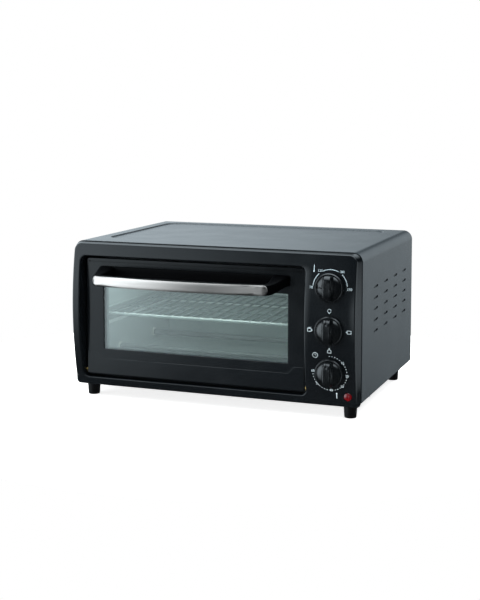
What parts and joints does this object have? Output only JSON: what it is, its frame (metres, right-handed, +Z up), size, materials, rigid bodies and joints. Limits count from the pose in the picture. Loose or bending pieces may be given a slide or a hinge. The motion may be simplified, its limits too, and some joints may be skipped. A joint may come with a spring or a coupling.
{
  "type": "toaster oven",
  "caption": "Compact countertop toaster oven with a folded dark metal wrap, a drop-down glass door with a bowed bar handle, a wire rack and a column of knobs.",
  "frame": {"origin": "centre of the footprint on the surface it stands on", "axes": "+X to the user's right along the width, -Y out of the door towards the user, +Z up"},
  "size_m": [0.39, 0.335, 0.207],
  "materials": {
    "case_paint": "semi-gloss baked enamel, dark slate with a fine orange peel",
    "panel_black": "satin black paint on pressed sheet",
    "front_moulding": "semi-gloss black moulding",
    "front_sheet": "satin black heat-proof paint",
    "zinc_sheet": "galvanised sheet with a faint spangle",
    "cavity_sheet": "aluminised sheet, dull and streaky",
    "rack_wire": "bright plated wire",
    "heater_sheath": "stainless sheath, dulled by heat",
    "ceramic": "unglazed steatite",
    "door_moulding": "gloss black moulding",
    "window_glass": "clear tempered glass, slightly grey-green",
    "retainer_steel": "grey enamelled pressing",
    "handle_moulding": "black moulding",
    "handle_steel": "stainless strip, brushed along its length",
    "screw_steel": "zinc-plated steel",
    "hinge_brass": "plain turned brass",
    "knob_gloss": "polished black moulding",
    "shaft_steel": "plated steel",
    "switch_black": "matt phenolic moulding",
    "indicator_red": "translucent red lens",
    "lamp_glass": "neon lamp envelope",
    "foot_black": "matt black moulding",
    "gland_black": "matt black nylon",
    "wire_sleeve": "woven glass-fibre sleeve"
  },
  "bodies": {
    "case": {"outer_wrap": "case_paint", "rear_cover": "panel_black", "front_frame": "front_moulding", "front_plate": "front_sheet", "base_plate": "zinc_sheet", "control_bracket": "zinc_sheet", "heat_shield": "zinc_sheet", "cavity_liner": "cavity_sheet", "cavity_back": "cavity_sheet", "cavity_floor": "cavity_sheet", "crumb_tray": "cavity_sheet", "rack_rail_left": "cavity_sheet", "rack_rail_right": "cavity_sheet", "upper_heater_front": "heater_sheath", "upper_heater_rear": "heater_sheath", "lower_heater_front": "heater_sheath", "lower_heater_rear": "heater_sheath", "heater_insulators": "ceramic", "thermostat_body": "ceramic", "terminal_block": "ceramic", "foot_screws": "screw_steel", "rear_screws": "screw_steel", "base_screws": "screw_steel", "control_nuts": "screw_steel", "hinge_bracket_left": "screw_steel", "hinge_bracket_right": "screw_steel", "thermal_cutout": "screw_steel", "timer_body": "shaft_steel", "timer_bell": "shaft_steel", "function_switch": "switch_black", "indicator_lens": "indicator_red", "indicator_lamp": "lamp_glass", "foot_front_left": "foot_black", "foot_front_right": "foot_black", "foot_rear_left": "foot_black", "foot_rear_right": "foot_black", "cord_gland": "gland_black", "wiring_harness": "wire_sleeve"},
    "door": {"door_frame": "door_moulding", "door_glass": "window_glass", "glass_retainer": "retainer_steel", "door_screws": "screw_steel", "handle_body": "handle_moulding", "handle_trim": "handle_steel", "handle_screws": "screw_steel", "hinge_pin_left": "hinge_brass", "hinge_pin_right": "hinge_brass", "hinge_washers": "hinge_brass"},
    "rack": {"wire_rack": "rack_wire"},
    "thermostat": {"thermostat_knob": "knob_gloss", "thermostat_shaft": "shaft_steel"},
    "function": {"function_knob": "knob_gloss", "function_shaft": "shaft_steel"},
    "timer": {"timer_knob": "knob_gloss", "timer_shaft": "shaft_steel"}
  },
  "joints": [
    {"name": "door_hinge", "type": "hinge", "parent": "case", "child": "door", "pos_m": [-0.02725, -0.1055, 0.035], "axis": [1, 0, 0], "range_deg": [0, 75]},
    {"name": "rack_slide", "type": "slide", "parent": "case", "child": "rack", "axis": [0, -1, 0], "range_m": [0, 0.05]},
    {"name": "thermostat_turn", "type": "hinge", "parent": "case", "child": "thermostat", "pos_m": [0.1585, -0.1265, 0.165], "axis": [0, 1, 0], "range_deg": [0, 180]},
    {"name": "function_turn", "type": "hinge", "parent": "case", "child": "function", "pos_m": [0.1585, -0.1265, 0.11225], "axis": [0, 1, 0], "range_deg": [0, 270]},
    {"name": "timer_turn", "type": "hinge", "parent": "case", "child": "timer", "pos_m": [0.1585, -0.1265, 0.0595], "axis": [0, 1, 0], "range_deg": [0, 275]}
  ],
  "couplings": [
    {"joint": "rack_slide", "follows": "door_hinge", "m_per_rad": 0.038}
  ]
}
